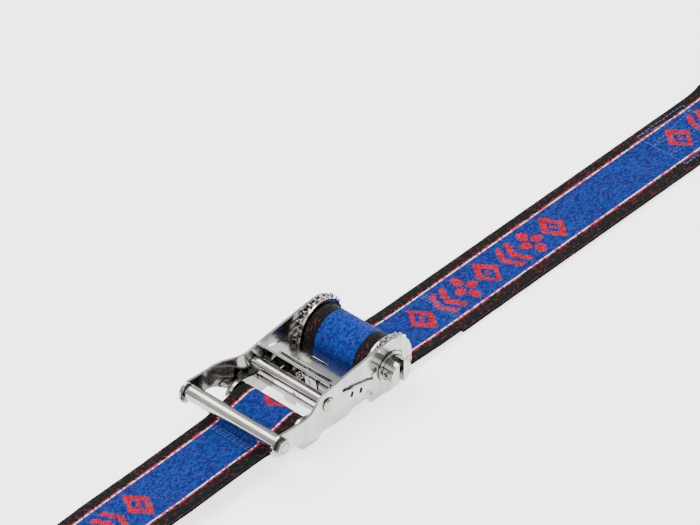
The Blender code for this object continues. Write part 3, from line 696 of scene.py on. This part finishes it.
def sewing(material):
    """The seams that close each loop of webbing."""
    anchor, eye = Vector(ANCHOR), Vector((-EYE_X, EYE_Z))
    slope = (eye.y - anchor.y) / (eye.x - anchor.x)
    stand = LAYER_HALF + WEBBING_THICK / 2 + STITCH_STAND

    def fixed(offset):
        return lambda x: (anchor.y + (x - anchor.x) * slope + offset, slope)

    def tacks(first, step):
        places = [first + n * step for n in range(TACKS)]
        return [((x, -TACK_HALF), (x, TACK_HALF)) for x in places]

    near, far = FIXED_SEAM
    lines = seam_lines(-EYE_X + near, -EYE_X + far, SEAM_HALF)
    lines += tacks(ANCHOR[0] - 25 * MM, -TACK_STEP)
    both = (fixed(stand), fixed(-stand))
    fixed_seam = stitches("fixed_strap_seam", material, "fixed_strap", "webbing", lines, both)

    lower, upper = GAP + WEBBING_THICK / 2, GAP + WEBBING_THICK / 2 + 2 * LAYER_HALF
    top = upper + WEBBING_THICK / 2 + STITCH_STAND
    bottom = lower - WEBBING_THICK / 2 + STITCH_SUNK
    at_tail = EYE_X - TAIL_LENGTH
    far, near = LONG_SEAM
    lines = seam_lines(EYE_X - far, EYE_X - near, SEAM_HALF)
    lines += tacks(at_tail + 3 * MM, TACK_STEP)
    flat = (lambda x: (top, 0.0), lambda x: (bottom, 0.0))
    long_seam = stitches("long_strap_seam", material, "long_strap", "webbing", lines, flat)
    return fixed_seam, long_seam


# Studio


def floor():
    bpy.ops.mesh.primitive_plane_add(size=FLOOR_SIZE)
    ground = bpy.context.object
    ground.name = "floor"
    made, tree, shader = new_material("pale_floor", 0.7)
    grain = noise_value(tree, object_place(tree), 3, 2)
    tone = mixed(tree, grain, (0.90, 0.90, 0.905), (0.93, 0.93, 0.93))
    set_to(tree, tone, shader.inputs["Base Color"])
    shader.inputs["Emission Color"].default_value = (1, 1, 1, 1)
    shader.inputs["Emission Strength"].default_value = FLOOR_GLOW
    ground.data.materials.append(made)


def light(name, place, aim, size, power):
    lamp = bpy.data.lights.new(name, "AREA")
    lamp.shape = "RECTANGLE"
    lamp.size, lamp.size_y = size
    lamp.energy = power
    obj = bpy.data.objects.new(name, lamp)
    bpy.context.scene.collection.objects.link(obj)
    obj.location = place
    obj.rotation_mode = "QUATERNION"
    obj.rotation_quaternion = (Vector(aim) - Vector(place)).to_track_quat("-Z", "Y")


def studio_world():
    """A soft room: bright overhead, greyer towards the horizon."""
    world = bpy.data.worlds.new("studio")
    bpy.context.scene.world = world
    world.use_nodes = True
    tree = world.node_tree
    coordinate = tree.nodes.new("ShaderNodeTexCoord")
    split = tree.nodes.new("ShaderNodeSeparateXYZ")
    tree.links.new(coordinate.outputs["Generated"], split.inputs[0])
    height = Value(tree, split.outputs[2])
    background = tree.nodes["Background"]
    tone = mixed(tree, height.smooth(-0.05, 0.35), (0.42, 0.42, 0.44), (1.0, 1.0, 1.0))
    tree.links.new(tone, background.inputs["Color"])
    background.inputs["Strength"].default_value = 1.0


def camera():
    back = Vector((sin(AZIMUTH) * cos(ELEVATION), -cos(AZIMUTH) * cos(ELEVATION), sin(ELEVATION)))
    right = Vector((cos(AZIMUTH), sin(AZIMUTH), 0))
    up = back.cross(right)
    target = Vector((0, 0, DRUM_Z)) + up * AIM_UP + right * AIM_RIGHT
    data = bpy.data.cameras.new("camera")
    data.lens, data.sensor_width = LENS, SENSOR
    data.clip_start, data.clip_end = NEAREST, FARTHEST
    obj = bpy.data.objects.new("camera", data)
    bpy.context.scene.collection.objects.link(obj)
    obj.location = target + back * (VIEW_WIDTH * LENS / SENSOR)
    obj.rotation_mode = "QUATERNION"
    obj.rotation_quaternion = (-back).to_track_quat("-Z", "Y")
    bpy.context.scene.camera = obj


def build():
    plate = steel("plate_steel", PLATE_FINISH, 0.15, grain=(1, 1, 0.08))
    turned = steel("turned_steel", TURNED_FINISH, 0.17, grain=(6, 0.3, 6))
    wire_steel = steel("wire_steel", WIRE_FINISH, 0.24)
    for node, slot in SLOTS.items():
        if slot in ("plate_steel", "pawl_steel", "drum_steel"):
            refined(node, plate)
        elif slot in ("fastener_steel", "grip_steel"):
            refined(node, turned, 0.3 * MM)
        elif slot == "spring_steel":
            refined(node, wire_steel, 0)

    coating = vinyl()
    s_hook("fixed_hook_dipped", "fixed_hook", coating, -1, 1)
    s_hook("long_hook_dipped", "long_hook", coating, 1, -1)

    patterned = webbing("patterned_webbing")
    fixed = fixed_strap(patterned)
    long = long_strap(patterned)
    # The roll is the same webbing as the straps, painted 15% lighter: painted light.
    wound = roll(webbing("wound_webbing_painted_lighter", patterned=False, painted_light_scale=1.15))
    fixed_seam, long_seam = sewing(thread())


build()
floor()
studio_world()
light("overhead", (-0.15, 0.35, 1.1), (0, 0, 0), (1.1, 0.8), 20)
light("left_fill", (-1.1, -0.5, 0.7), (0, 0, 0), (0.7, 0.7), 7)
light("right_edge", (0.9, -0.5, 0.5), (0, 0, 0), (0.25, 0.9), 5)
camera()
